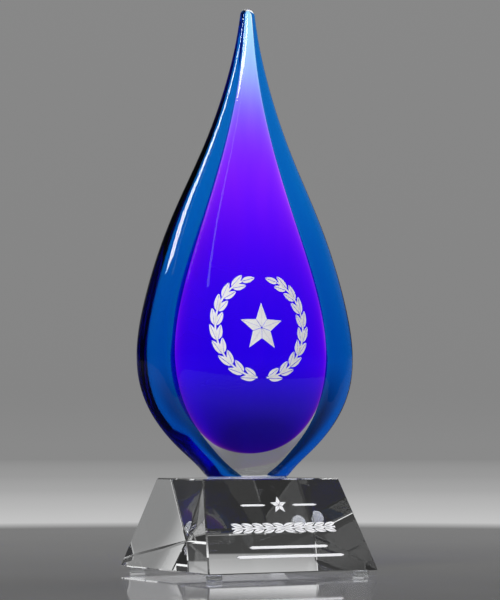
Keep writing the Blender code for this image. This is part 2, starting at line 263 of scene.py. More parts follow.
# Stage, in metres. A list of stops gives a place and how bright the stage is there.
STAGE_SIDES = 96
FLOOR_RADIUS = 9.0
FLOOR_BLEND_START = 0.66
FLOOR_BLEND_END = 0.80
# By share of the floor's radius: the far table, as the camera sees it, a painted glow in place of lamplight,
# brighter nearer the award.
FLOOR_FAR_GLOW_STOPS = ((0.09, 0.55), (0.14, 0.48), (0.24, 0.38), (0.40, 0.32), (1.0, 0.25))
# By distance from the award, both painted glows: the table as glass shows it, with painted shade by the
# award and a painted bright band far off, and a painted reflection of it that a polished face mirrors.
FLOOR_PAINTED_THROUGH_GLASS_STOPS = ((0.10, 0.03), (0.18, 0.15), (0.32, 1.0))
FLOOR_PAINTED_REFLECTION_STOPS = ((0.10, 0.03), (0.6, 0.10), (1.0, 0.16))

# By height above the table.
CARD_RADIUS = 0.35
CARD_HEIGHT = 0.080
CARD_SPLIT = 0.029
CARD_STOPS = (
    (0.0, 0.05),
    (CARD_SPLIT - 0.001, 0.06),
    (CARD_SPLIT, 0.34),
    (0.045, 0.60),
    (0.050, 0.60),
    (0.054, 0.06),
)
SCREEN_RADIUS = 0.15
SCREEN_BOTTOM = 0.076
SCREEN_TOP = 0.36
SCREEN_STOPS = ((0.090, 0.17), (0.094, 0.20), (0.104, 0.50), (0.118, 0.90), (0.150, 1.0), (0.200, 1.12))

FLAG_ASIDE = 0.13
FLAG_HEIGHT = 0.125
FLAG_CORE = 0.05
FLAG_REACH = 0.08
FLAG_TONE = 0.27
FLAG_EDGE_TONE = 1.0

# Backdrop, by half the sine of the ray's rise plus one half, so that 0.5 is the horizon.
BACKDROP_STOPS = ((0.50, 0.25), (0.51, 0.235), (0.60, 0.245), (1.0, 0.30))
COVE_STOPS = (
    (0.45, 1.15),
    (0.52, 1.2),
    (0.54, 0.60),
    (0.555, 0.08),
    (0.585, 0.03),
    (0.70, 0.10),
    (0.80, 0.28),
    (1.0, 0.30),
)
MIRRORED_STOPS = (
    (0.50, 0.24),
    (0.519, 0.19),
    (0.523, 0.15),
    (0.527, 0.11),
    (0.531, 0.06),
    (0.536, 0.05),
    (0.58, 0.12),
    (0.62, 0.24),
    (1.0, 0.30),
)
# By how far a ray runs away from the photograph's side: the mirrored room is darker towards that side.
AWAY_STOPS = ((0.0, 0.12), (0.6, 1.0))

# Softboxes: name; place to the camera's right, towards it and up; width, height; watts; rays that see it.
LIGHT_AIM = (0.0, 0.0, 0.15)
SOFTBOXES = (
    ("key", (-0.6, 1.3, 1.2), 1.0, 1.0, 32.0, ("diffuse",)),
    ("top", (0.25, -0.55, 1.5), 1.5, 1.5, 20.0, ("diffuse", "glossy")),
    ("wing_light", (0.53, 1.5, 0.90), 0.30, 0.30, 4.5, ("glossy",)),
    ("face_light", (0.86, 1.4, 0.75), 0.03, 0.24, 0.03, ("glossy",)),
)

# Light paths.
GLASS_BOUNCES = 28
MIRROR_BOUNCES = 12
CLEAR_BOUNCES = 32
BRIGHTEST_BOUNCE = 6.0


# ---------------------------------------------------------------- sections of the drop


def spline_value(stations, column, height):
    """Read one column of a station table at a height, on a natural cubic spline."""
    table = np.array(stations)
    knots = table[:, 0]
    values = table[:, column]
    count = len(knots)
    spans = np.diff(knots)
    slopes = np.diff(values) / spans
    system = np.eye(count)
    right = np.zeros(count)
    for row in range(1, count - 1):
        system[row, row - 1] = spans[row - 1]
        system[row, row] = 2.0 * (spans[row - 1] + spans[row])
        system[row, row + 1] = spans[row]
        right[row] = 6.0 * (slopes[row] - slopes[row - 1])
    bends = np.linalg.solve(system, right)
    span = int(np.clip(np.searchsorted(knots, height) - 1, 0, count - 2))
    width = spans[span]
    ahead = knots[span + 1] - height
    behind = height - knots[span]
    curved = (bends[span] * ahead**3 + bends[span + 1] * behind**3) / (6.0 * width)
    before = (values[span] / width - bends[span] * width / 6.0) * ahead
    after = (values[span + 1] / width - bends[span + 1] * width / 6.0) * behind
    return float(curved + before + after)


def drop_section(height):
    """Half width over the wings, half width of the face, half thickness in the valley and at the crown."""
    level = min(height, DROP_SHOULDER)
    return [spline_value(DROP_STATIONS, column, level) for column in range(1, 5)]


def round_off(height, shoulder, tip):
    """Scale of a cross-section between the shoulder and the tip, where it closes on a round end."""
    if height <= shoulder:
        return 1.0
    climb = min((height - shoulder) / (tip - shoulder), 1.0)
    return math.sqrt(1.0 - climb * climb)


def surface_depth(x, height):
    """How far in front of the drop's middle plane its face lies, with the valley rounded."""
    outer, face, valley, crown = drop_section(height)
    slope = 2.0 * (crown - valley) / face
    spread = VALLEY_FILLET * outer
    if abs(x) <= face:
        depth = valley + (crown - valley) * (1.0 - (x / face) ** 2)
    else:
        beyond = min((abs(x) - face) / (outer - face), 1.0)
        depth = valley * math.sqrt(1.0 - beyond * beyond)
    nearness = max(1.0 - abs(abs(x) - face) / spread, 0.0)
    return depth + slope * spread / 4.0 * nearness**2


def envelope_ring(height):
    """Outline of the whole drop: domed face, valley and wing, then the same behind."""
    outer, face, _, _ = drop_section(height)
    reach = outer - face
    across = [-face - reach * math.cos(0.5 * math.pi * step / WING_STEPS) for step in range(WING_STEPS)]
    across += [face * math.sin(math.pi * (step / FACE_STEPS - 0.5)) for step in range(FACE_STEPS)]
    across += [face + reach * math.sin(0.5 * math.pi * step / WING_STEPS) for step in range(WING_STEPS)]
    scale = round_off(height, DROP_SHOULDER, DROP_TIP)
    ring = [(x * scale, -surface_depth(x, height) * scale) for x in across]
    return ring + [(-x, -y) for x, y in ring]


def wing_ring(height, side):
    """Outline of one wing: the drop's outside, closed by a curve that bulges into the clear glass."""
    outer, face, valley, _ = drop_section(height)
    scale = round_off(height, DROP_SHOULDER, WING_TIP)
    ring = []
    for reach, way in ((outer - face - WING_INSET, 1.0), (-WING_SWELL * (outer - face), -1.0)):
        for step in range(2 * WING_STEPS):
            angle = way * math.pi * (0.5 * step / WING_STEPS - 0.5)
            x = face + reach * math.cos(angle)
            y = (valley - WING_INSET) * math.sin(angle)
            ring.append((side * x * scale, y * scale))
    return ring


def core_ring(height):
    """Outline of the core: a flattened oval, which closes on a full, round curve at its lower end."""
    half_width = spline_value(CORE_STATIONS, 1, max(height, CORE_WIDEST))
    half_depth = spline_value(CORE_STATIONS, 2, max(height, CORE_WIDEST))
    end = round_off(height, CORE_TIP - CORE_TIP_ROUNDING, CORE_TIP)
    half_width *= end
    half_depth *= end
    if height < CORE_WIDEST:
        drop = (CORE_WIDEST - height) / (CORE_WIDEST - CORE_BOTTOM)
        half_width *= max(1.0 - drop**CORE_WIDTH_ROUNDNESS, 0.0) ** (1.0 / CORE_WIDTH_ROUNDNESS)
        half_depth *= max(1.0 - drop**CORE_DEPTH_ROUNDNESS, 0.0) ** (1.0 / CORE_DEPTH_ROUNDNESS)
    ring = []
    for step in range(CORE_SIDES):
        angle = 2.0 * math.pi * step / CORE_SIDES
        x = math.copysign(abs(math.cos(angle)) ** (2.0 / CORE_FLATNESS), math.cos(angle))
        y = math.copysign(abs(math.sin(angle)) ** (2.0 / CORE_FLATNESS), math.sin(angle))
        ring.append((half_width * x, half_depth * y))
    return ring


# ---------------------------------------------------------------- meshes


def make_piece(name, points, faces, material, replaced, smooth_angle=None):
    """Make one piece from points in millimetres, turned outwards, riding on the award's body."""
    mesh = bpy.data.meshes.new(name)
    mesh.from_pydata([(x * MM, y * MM, z * MM) for x, y, z in points], [], faces)
    work = bmesh.new()
    work.from_mesh(mesh)
    bmesh.ops.remove_doubles(work, verts=work.verts[:], dist=WELD_DISTANCE * MM)
    bmesh.ops.recalc_face_normals(work, faces=work.faces[:])
    work.to_mesh(mesh)
    work.free()
    if smooth_angle is not None:
        mesh.shade_smooth()
        mesh.set_sharp_from_angle(angle=smooth_angle)
    mesh.materials.append(material)
    piece = bpy.data.objects.new(name, mesh)
    bpy.context.scene.collection.objects.link(piece)
    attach(piece, "root")
    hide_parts(replaced)
    return piece


def loft(rings, heights):
    """Points and faces of a closed stack of rings with an n-gon at each end."""
    sides = len(rings[0])
    points = []
    for ring, height in zip(rings, heights):
        points += [(x, y, height) for x, y in ring]
    faces = []
    for low in range(0, sides * (len(rings) - 1), sides):
        for side in range(sides):
            after = (side + 1) % sides
            faces.append((low + side, low + after, low + sides + after, low + sides + side))
    faces.append(tuple(range(sides)))
    faces.append(tuple(range(len(points) - sides, len(points))))
    return points, faces


def rounded_levels(low, shoulder, tip, count, end_count):
    """Heights from low to the shoulder, then closer and closer together up to the tip."""
    levels = [low + (shoulder - low) * step / count for step in range(count)]
    for step in range(end_count):
        levels.append(shoulder + (tip - shoulder) * math.sin(0.5 * math.pi * step / end_count))
    return levels


def build_drop(material):
    """The whole outside of the drop: one clear, polished surface with a small arris at its ground foot."""
    levels = rounded_levels(0.0, DROP_SHOULDER, DROP_TIP, LEVELS, DROP_TIP_STEPS)
    rings = []
    heights = []
    for step in range(FOOT_ROUNDING_STEPS):
        angle = 0.5 * math.pi * step / FOOT_ROUNDING_STEPS
        height = FOOT_ROUNDING * (1.0 - math.cos(angle))
        ring = envelope_ring(height)
        reach = max(x for x, _ in ring)
        inset = FOOT_ROUNDING * (1.0 - math.sin(angle))
        rings.append([(x * (1.0 - inset / reach), y * (1.0 - inset / reach)) for x, y in ring])
        heights.append(height + DROP_FOOT)
    for level in levels[1:]:
        rings.append(envelope_ring(level))
        heights.append(level + DROP_FOOT)
    points, faces = loft(rings, heights)
    make_piece("drop_glass", points, faces, material, "drop_casing", DROP_SMOOTH_ANGLE)


def build_core(material):
    """The coloured core, with its levels closer together towards its round lower end."""
    levels = []
    end_steps = CORE_LEVELS // 2
    for step in range(end_steps):
        angle = 0.5 * math.pi * (step + CORE_FIRST_LEVEL) / end_steps
        levels.append(CORE_WIDEST - (CORE_WIDEST - CORE_BOTTOM) * math.cos(angle))
    tip_shoulder = CORE_TIP - CORE_TIP_ROUNDING
    levels += rounded_levels(CORE_WIDEST, tip_shoulder, CORE_TIP, CORE_LEVELS, CORE_TIP_STEPS)
    rings = [core_ring(level) for level in levels]
    points, faces = loft(rings, [level + DROP_FOOT for level in levels])
    make_piece("violet_core", points, faces, material, "color_core", LAYER_SMOOTH_ANGLE)


def build_wings(material):
    """The coloured glass along both sides of the drop."""
    levels = rounded_levels(WING_INSET, DROP_SHOULDER, WING_TIP, LEVELS, WING_TIP_STEPS)
    for place, side in (("left", -1.0), ("right", 1.0)):
        rings = [wing_ring(level, side) for level in levels]
        points, faces = loft(rings, [level + DROP_FOOT for level in levels])
        make_piece("teal_wing_" + place, points, faces, material, "side_wing_" + place,
                   LAYER_SMOOTH_ANGLE)


def build_bond(material):
    """Cured adhesive between the block and the drop's foot, with a small meniscus round its edge."""
    outline = envelope_ring(0.0)
    reach = max(x for x, _ in outline)
    low = BLOCK_TOP + HAIR_GAP
    high = DROP_FOOT - HAIR_GAP
    rings = []
    heights = []
    for step in range(BOND_STEPS + 1):
        climb = step / BOND_STEPS
        inset = BOND_INSET + BOND_HOLLOW * math.sin(math.pi * climb)
        rings.append([(x * (1.0 - inset / reach), y * (1.0 - inset / reach)) for x, y in outline])
        heights.append(low + (high - low) * climb)
    points, faces = loft(rings, heights)
    make_piece("bond_layer", points, faces, material, "drop_bond", BOND_SMOOTH_ANGLE)


def turned_disc(name, x, y, profile, material, replaced):
    """A disc turned round its own upright axis from (radius, height) points, bottom first."""
    rings = []
    for radius, _ in profile:
        turns = [2.0 * math.pi * step / DISC_SIDES for step in range(DISC_SIDES)]
        rings.append([(x + radius * math.cos(a), y + radius * math.sin(a)) for a in turns])
    points, faces = loft(rings, [height for _, height in profile])
    make_piece(name, points, faces, material, replaced, DISC_SMOOTH_ANGLE)


def build_feet(foot_material, film_material):
    """Four bumper feet with rounded lower edges, each under its own film of adhesive."""
    foot = [(FOOT_RADIUS - FOOT_EDGE_RADIUS - FOOT_DOME_RADIUS, 0.0)]
    for step in range(FOOT_EDGE_STEPS + 1):
        angle = 0.5 * math.pi * step / FOOT_EDGE_STEPS
        foot.append((FOOT_RADIUS - FOOT_EDGE_RADIUS * (1.0 - math.sin(angle)),
                     FOOT_SOLE_RISE + FOOT_EDGE_RADIUS * (1.0 - math.cos(angle))))
    foot.append((FOOT_RADIUS, FOOT_TOP))
    film = [(FILM_RADIUS - FILM_EDGE, FOOT_TOP + HAIR_GAP), (FILM_RADIUS, FOOT_TOP + FILM_EDGE),
            (FILM_RADIUS, FILM_TOP - FILM_EDGE), (FILM_RADIUS - FILM_EDGE, FILM_TOP)]
    for row, y in (("front", -FOOT_CENTRE), ("rear", FOOT_CENTRE)):
        for column, x in (("left", -FOOT_CENTRE), ("right", FOOT_CENTRE)):
            place = row + "_" + column
            turned_disc("foot_pad_" + place, x, y, foot, foot_material,
                        "bumper_foot_" + place)
            turned_disc("foot_film_" + place, x, y, film, film_material,
                        "foot_adhesive_" + place)


# ---------------------------------------------------------------- engraving fill


def on_drop(u, v, lift):
    """Lay a point of the emblem on the drop's domed front face."""
    height = EMBLEM_HEIGHT + v
    return (u, -surface_depth(u, height) - lift, height + DROP_FOOT)


def on_block(u, v, lift):
    """Lay a point on the block's sloping front face, v up from its lower edge."""
    back = (BLOCK_BOTTOM_DEPTH - BLOCK_TOP_DEPTH) / 2.0
    slant = math.hypot(back, BLOCK_HEIGHT)
    y = -BLOCK_BOTTOM_DEPTH / 2.0 + v * back / slant - lift * BLOCK_HEIGHT / slant
    z = BLOCK_UNDERSIDE + v * BLOCK_HEIGHT / slant + lift * back / slant
    return (u, y, z)


class Fill:
    """Closed slabs of white fill, gathered into one piece."""

    def __init__(self, place):
        self.place = place
        self.points = []
        self.faces = []

    def slab(self, grid):
        """Add a slab over a grid of (u, v) points, given as rows of equal length."""
        rows = len(grid)
        columns = len(grid[0])
        flat = [point for row in grid for point in row]
        start = len(self.points)
        top = start + len(flat)
        self.points += [self.place(u, v, -FILL_DEPTH) for u, v in flat]
        self.points += [self.place(u, v, FILL_PROUD) for u, v in flat]
        for row in range(rows - 1):
            for column in range(columns - 1):
                corner = row * columns + column
                quad = (corner, corner + 1, corner + columns + 1, corner + columns)
                self.faces.append(tuple(start + index for index in quad))
                self.faces.append(tuple(top + index for index in quad))
        rim = list(range(columns))
        rim += [row * columns + columns - 1 for row in range(1, rows)]
        rim += [(rows - 1) * columns + column for column in range(columns - 2, -1, -1)]
        rim += [row * columns for row in range(rows - 2, 0, -1)]
        for index, corner in enumerate(rim):
            after = rim[(index + 1) % len(rim)]
            self.faces.append((start + corner, start + after, top + after, top + corner))

    def leaf(self, root, tip, width):
        """Add a pointed leaf as two halves, with a narrow clear vein between them."""
        along = Vector(tip) - Vector(root)
        length = along.length
        along.normalize()
        across = Vector((-along.y, along.x))
        for side in (-1.0, 1.0):
            grid = []
            for step in range(LEAF_STEPS + 1):
                travel = step / LEAF_STEPS
                half = 0.5 * width * math.sin(math.pi * travel**LEAF_FULLNESS) ** LEAF_FULLNESS
                row = []
                for share in LEAF_SHARES:
                    offset = LEAF_VEIN / 2.0 + (half + LEAF_END_WIDTH) * share
                    point = Vector(root) + along * length * travel + across * side * offset
                    row.append((point.x, point.y))
                grid.append(row)
            self.slab(grid)

    def star(self, radius, across, up):
        """Add a five-pointed star as ten kites that meet along fine clear lines."""
        for step in range(10):
            near = math.pi / 2.0 + math.pi * step / 5.0
            far = near + math.pi / 5.0
            near_reach = radius * (1.0 if step % 2 == 0 else STAR_WAIST)
            far_reach = radius * (STAR_WAIST if step % 2 == 0 else 1.0)
            start = Vector((near_reach * math.cos(near), near_reach * math.sin(near)))
            end = Vector((far_reach * math.cos(far), far_reach * math.sin(far)))
            middle = (start + end) / 3.0
            shrink = 1.0 - LEAF_VEIN / (2.0 * radius * STAR_KITE_SHARE)
            grid = []
            for row in range(STAR_STEPS + 1):
                outer = start.lerp(end, row / STAR_STEPS)
                line = []
                for share in STAR_SHARES:
                    point = middle + (outer * share - middle) * shrink
                    line.append((across + point.x, up + point.y))
                grid.append(line)
            self.slab(grid)

    def band(self, centre_line, width):
        """Add a narrow band along a line of (u, v) points."""
        grid = []
        for index, point in enumerate(centre_line):
            before = Vector(centre_line[max(index - 1, 0)])
            after = Vector(centre_line[min(index + 1, len(centre_line) - 1)])
            along = (after - before).normalized()
            across = Vector((-along.y, along.x)) * width / 2.0
            middle = Vector(point)
            grid.append([tuple(middle - across), tuple(middle), tuple(middle + across)])
        self.slab(grid)

    def rule(self, length, width, across, up):
        """Add a straight bar whose two ends run out to points."""
        half = length / 2.0
        grid = []
        for u, share in (
            (-half, RULE_POINT_SHARE),
            (-half + RULE_POINT, 1.0),
            (half - RULE_POINT, 1.0),
            (half, RULE_POINT_SHARE),
        ):
            grid.append([(across + u, up - share * width / 2.0), (across + u, up + share * width / 2.0)])
        self.slab(grid)

    def make(self, name, material, replaced):
        make_piece(name, self.points, self.faces, material, replaced)


def build_wreath(material):
    for place, side in (("left", -1.0), ("right", 1.0)):
        branch = Fill(on_drop)

        def at(radius, angle):
            return (side * radius * math.cos(angle), radius * math.sin(angle))

        stem = []
        for step in range(WREATH_STEPS + 1):
            angle = WREATH_START + (WREATH_END - WREATH_START) * step / WREATH_STEPS
            stem.append(at(WREATH_RADIUS, angle))
        branch.band(stem, WREATH_STEM)
        lean = WREATH_LEAF_LENGTH / WREATH_RADIUS
        for leaf in range(WREATH_LEAVES):
            root = WREATH_START + (WREATH_END - WREATH_START) * (leaf + WREATH_LEAF_LAG) / WREATH_LEAVES
            for way in (-1.0, 1.0):
                foot = at(WREATH_RADIUS + way * WREATH_STEM * WREATH_LEAF_ROOT, root)
                tip = at(WREATH_RADIUS + way * WREATH_LEAF_SPREAD, root + lean)
                branch.leaf(foot, tip, WREATH_LEAF_WIDTH)
        branch.leaf(at(WREATH_RADIUS, WREATH_END), at(WREATH_RADIUS, WREATH_END + lean), WREATH_LEAF_WIDTH)
        branch.make("laurel_" + place, material, "emblem_wreath_" + place)


def build_emblem(material):
    build_wreath(material)
    star = Fill(on_drop)
    star.star(EMBLEM_STAR_RADIUS, 0.0, 0.0)
    star.make("star_on_drop", material, "emblem_star")


def build_engraving(material):
    star = Fill(on_block)
    star.star(CREST_STAR_RADIUS, 0.0, CREST_HEIGHT)
    star.make("star_on_block", material, "engraved_star")
    for place, side in (("left", -1.0), ("right", 1.0)):
        rule = Fill(on_block)
        rule.rule(CREST_RULE_LENGTH, CREST_RULE_WIDTH, side * CREST_RULE_OFFSET, CREST_HEIGHT)
        rule.make("crest_rule_" + place, material, "engraved_rule_" + place)
    garland = Fill(on_block)
    half = GARLAND_LENGTH / 2.0
    stem = []
    for step in range(GARLAND_STEPS + 1):
        stem.append((-half + GARLAND_LENGTH * step / GARLAND_STEPS, GARLAND_HEIGHT))
    garland.band(stem, GARLAND_STEM)
    pitch = GARLAND_LENGTH / GARLAND_LEAVES
    for leaf in range(GARLAND_LEAVES):
        middle = (leaf + 0.5 - GARLAND_LEAVES / 2.0) * pitch
        way = math.copysign(1.0, middle)
        for rise in (-1.0, 1.0):
            root_height = GARLAND_HEIGHT + rise * GARLAND_STEM * GARLAND_LEAF_ROOT
            foot = (middle - way * GARLAND_LEAF_LENGTH / 2.0, root_height)
            tip = (middle + way * GARLAND_LEAF_LENGTH / 2.0, GARLAND_HEIGHT + rise * GARLAND_LEAF_RISE)
            garland.leaf(foot, tip, GARLAND_LEAF_WIDTH)
    garland.make("garland_on_block", material, "engraved_garland")
    for place, length, height in (
        ("upper", UPPER_RULE_LENGTH, UPPER_RULE_HEIGHT),
        ("lower", LOWER_RULE_LENGTH, LOWER_RULE_HEIGHT),
    ):
        rule = Fill(on_block)
        rule.rule(length, RULE_WIDTH, 0.0, height)
        rule.make("line_" + place, material, "engraved_rule_" + place)


# ---------------------------------------------------------------- materials


class Graph:
    """A node tree with short ways to add nodes and join them."""

    def __init__(self, tree):
        self.tree = tree
        tree.nodes.clear()

    def add(self, kind, settings=None, **inputs):
        """Add a node; inputs are named after its sockets, with _ for a space."""
        made = self.tree.nodes.new(kind)
        for key, value in (settings or {}).items():
            setattr(made, key, value)
        for key, value in inputs.items():
            self.put(made.inputs[key.replace("_", " ")], value)
        return made

    def put(self, socket, value):
        """Set a socket to a plain value, or link it to another node's output."""
        if isinstance(value, bpy.types.NodeSocket):
            self.tree.links.new(value, socket)
        elif isinstance(value, bpy.types.Node):
            self.tree.links.new(value.outputs[0], socket)
        else:
            socket.default_value = value

    def math(self, operation, first, second=0.0):
        made = self.tree.nodes.new("ShaderNodeMath")
        made.operation = operation
        self.put(made.inputs[0], first)
        self.put(made.inputs[1], second)
        return made.outputs[0]

    def ramp(self, factor, stops, easing="LINEAR"):
        """A colour ramp; stops are (position, grey or colour)."""
        made = self.tree.nodes.new("ShaderNodeValToRGB")
        made.color_ramp.interpolation = easing
        elements = made.color_ramp.elements
        while len(elements) < len(stops):
            elements.new(0.5)
        for element, (position, colour) in zip(elements, stops):
            element.position = position
            if isinstance(colour, float):
                colour = (colour, colour, colour)
            element.color = (*colour, 1.0)
        self.put(made.inputs["Fac"], factor)
        return made.outputs["Color"]

    def vary(self, socket, factor, span, values):
        """Let a socket run between two values while the factor crosses the span."""
        self.put(socket, self.ramp(factor, list(zip(span, values))))

    def noise(self, scale, detail=2.0, stretch=(1.0, 1.0, 1.0)):
        """Noise fixed to the object, with features about 1 / scale metres across."""
        place = self.add("ShaderNodeTexCoord")
        mapping = self.add("ShaderNodeMapping", None, Vector=place.outputs["Object"], Scale=stretch)
        made = self.add("ShaderNodeTexNoise", None, Vector=mapping, Scale=scale, Detail=detail)
        return made.outputs["Fac"]

    def bump(self, height, strength, distance):
        made = self.add("ShaderNodeBump", None, Height=height, Strength=strength, Distance=distance * MM)
        return made.outputs["Normal"]

    def surface(self, shader, volume=None):
        output = self.add("ShaderNodeOutputMaterial", None, Surface=shader)
        if volume is not None:
            self.put(output.inputs["Volume"], volume)

    def lit_through(self, shader):
        """Mix in a Transparent shader for rays from lamps, so that the glass casts no solid shadow."""
        path = self.add("ShaderNodeLightPath")
        clear = self.add("ShaderNodeBsdfTransparent")
        mix = self.add("ShaderNodeMixShader", None, Fac=path.outputs["Is Shadow Ray"])
        self.put(mix.inputs[1], shader)
        self.put(mix.inputs[2], clear)
        return mix.outputs[0]


def new_graph(name):
    material = bpy.data.materials.new(name)
    material.use_nodes = True
    return material, Graph(material.node_tree)


def make_clear_glass():
    """Hand-worked clear glass: polished, with the faint upright waves that the melt leaves."""
    material, graph = new_graph("polished_clear_glass")
    waves = graph.noise(GLASS_WAVE_SCALE, GLASS_WAVE_DETAIL, GLASS_WAVE_STRETCH)
    shader = graph.add("ShaderNodeBsdfPrincipled", None, Transmission_Weight=1.0, IOR=GLASS_IOR)
    graph.vary(shader.inputs["Base Color"], waves, GRAIN_SPAN, GLASS_TINTS)
    graph.vary(shader.inputs["Roughness"], graph.noise(GLASS_HAZE_SCALE), GLASS_HAZE_SPAN, GLASS_HAZE)
    graph.put(shader.inputs["Normal"], graph.bump(waves, GLASS_WAVE_STRENGTH, GLASS_WAVE_DISTANCE))
    graph.surface(graph.lit_through(shader))
    return material


def make_coloured_glass(name, streak_colour, neck_colour, colour, density, skin_colour):
    """Glass coloured through its body and fused to the clear glass, so it bends no light of its own.

    The skin colour tints each surface that a ray crosses, and the streak colour does so in thin upright
    streaks. The neck colour is a further tint that the drawn-out glass takes on towards the tip.
    """
    material, graph = new_graph(name)
    streaks = graph.noise(STREAK_SCALE, STREAK_DETAIL, STREAK_STRETCH)
    streaked = tuple(skin * streak for skin, streak in zip(skin_colour, streak_colour))
    streak_tint = graph.ramp(streaks, list(zip(STREAK_SPAN, (streaked, skin_colour))))
    place = graph.add("ShaderNodeTexCoord").outputs["Object"]
    height = graph.add("ShaderNodeSeparateXYZ", None, Vector=place).outputs["Z"]
    climb = graph.add("ShaderNodeMapRange", None, Value=height,
                      From_Min=NECK_BOTTOM * MM, From_Max=NECK_TOP * MM)
    neck_tint = graph.ramp(climb.outputs[0], [(0.0, WHITE), (1.0, neck_colour)], "EASE")
    tint = graph.add("ShaderNodeMix", {"data_type": "RGBA", "blend_type": "MULTIPLY"}, Factor=1.0)
    graph.put(tint.inputs[6], streak_tint)
    graph.put(tint.inputs[7], neck_tint)
    clear = graph.add("ShaderNodeBsdfTransparent", None, Color=tint.outputs[2])
    body = graph.add("ShaderNodeVolumeAbsorption", None, Color=(*colour, 1.0), Density=density)
    graph.surface(clear, body)
    return material


def make_crystal():
    """Optical crystal: cut flat and polished, with only the faintest polishing haze."""
    material, graph = new_graph("optical_crystal")
    haze = graph.noise(CRYSTAL_HAZE_SCALE, CRYSTAL_HAZE_DETAIL)
    shader = graph.add("ShaderNodeBsdfPrincipled", None, Transmission_Weight=1.0, IOR=CRYSTAL_IOR)
    graph.vary(shader.inputs["Base Color"], haze, GRAIN_SPAN, CRYSTAL_TINTS)
    graph.vary(shader.inputs["Roughness"], haze, CRYSTAL_HAZE_SPAN, CRYSTAL_HAZE)
    graph.surface(graph.lit_through(shader))
    return material


def make_adhesive():
    """Clear cured adhesive with a light, cloudy texture."""
    material, graph = new_graph("cured_adhesive")
    cloud = graph.noise(ADHESIVE_CLOUD_SCALE, ADHESIVE_CLOUD_DETAIL)
    shader = graph.add("ShaderNodeBsdfPrincipled", None, Transmission_Weight=ADHESIVE_CLARITY,
                       IOR=ADHESIVE_IOR)
    graph.vary(shader.inputs["Base Color"], cloud, GRAIN_SPAN, ADHESIVE_TINTS)
    graph.vary(shader.inputs["Roughness"], cloud, GRAIN_SPAN, ADHESIVE_ROUGHNESS)
    graph.put(shader.inputs["Normal"], graph.bump(cloud, ADHESIVE_BUMP_STRENGTH, ADHESIVE_BUMP_DISTANCE))
    graph.surface(graph.lit_through(shader))
    return material


def make_bumper():
    """Clear polyurethane: soft gloss with a fine moulded grain."""
    material, graph = new_graph("clear_polyurethane")
    grain = graph.noise(BUMPER_GRAIN_SCALE, BUMPER_GRAIN_DETAIL)
    shader = graph.add("ShaderNodeBsdfPrincipled", None, Transmission_Weight=BUMPER_CLARITY, IOR=BUMPER_IOR)
    graph.vary(shader.inputs["Base Color"], grain, GRAIN_SPAN, BUMPER_TINTS)
    graph.vary(shader.inputs["Roughness"], grain, GRAIN_SPAN, BUMPER_ROUGHNESS)
    graph.put(shader.inputs["Normal"], graph.bump(grain, BUMPER_BUMP_STRENGTH, BUMPER_BUMP_DISTANCE))
    graph.surface(graph.lit_through(shader))
    return material


def make_fill():
    """White fill in a sandblasted engraving: matt, with a fine frosted grain."""
    material, graph = new_graph("frosted_white_fill")
    grain = graph.noise(FILL_GRAIN_SCALE, FILL_GRAIN_DETAIL)
    shader = graph.add("ShaderNodeBsdfPrincipled", None, IOR=FILL_IOR)
    graph.vary(shader.inputs["Base Color"], grain, GRAIN_SPAN, FILL_TINTS)
    graph.vary(shader.inputs["Roughness"], grain, GRAIN_SPAN, FILL_ROUGHNESS)
    graph.put(shader.inputs["Normal"], graph.bump(grain, FILL_BUMP_STRENGTH, FILL_BUMP_DISTANCE))
    graph.surface(shader)
    return material


# ---------------------------------------------------------------- stage, light and camera


